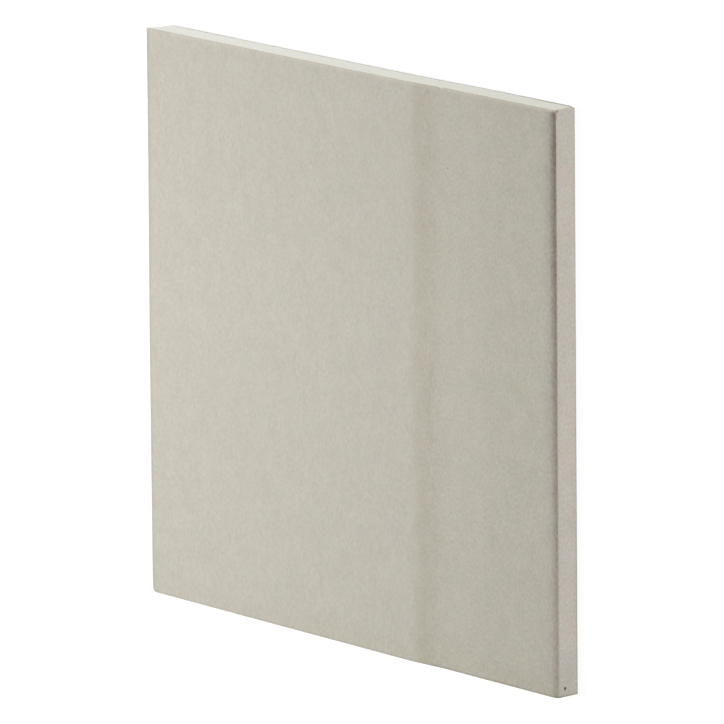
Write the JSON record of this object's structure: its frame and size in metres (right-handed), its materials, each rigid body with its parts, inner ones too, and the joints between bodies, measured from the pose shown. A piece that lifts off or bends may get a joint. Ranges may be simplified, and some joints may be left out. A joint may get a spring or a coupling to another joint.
{
  "type": "drywall sheet piece",
  "caption": "Flat rectangular piece of tapered-edge drywall: a gypsum core between face and back paper, the face paper wrapped round one recessed long edge.",
  "frame": {"origin": "middle of the underside, which is the back of the board", "axes": "+X across the board to the paper-wrapped long edge, +Y along that edge, +Z out of the face"},
  "size_m": [0.24, 0.22, 0.0125],
  "materials": {
    "gypsum": "matte",
    "face_paper": "matte",
    "back_paper": "matte"
  },
  "bodies": {
    "root": {"gypsum_core": "gypsum", "face_paper": "face_paper", "back_paper": "back_paper"}
  },
  "joints": []
}
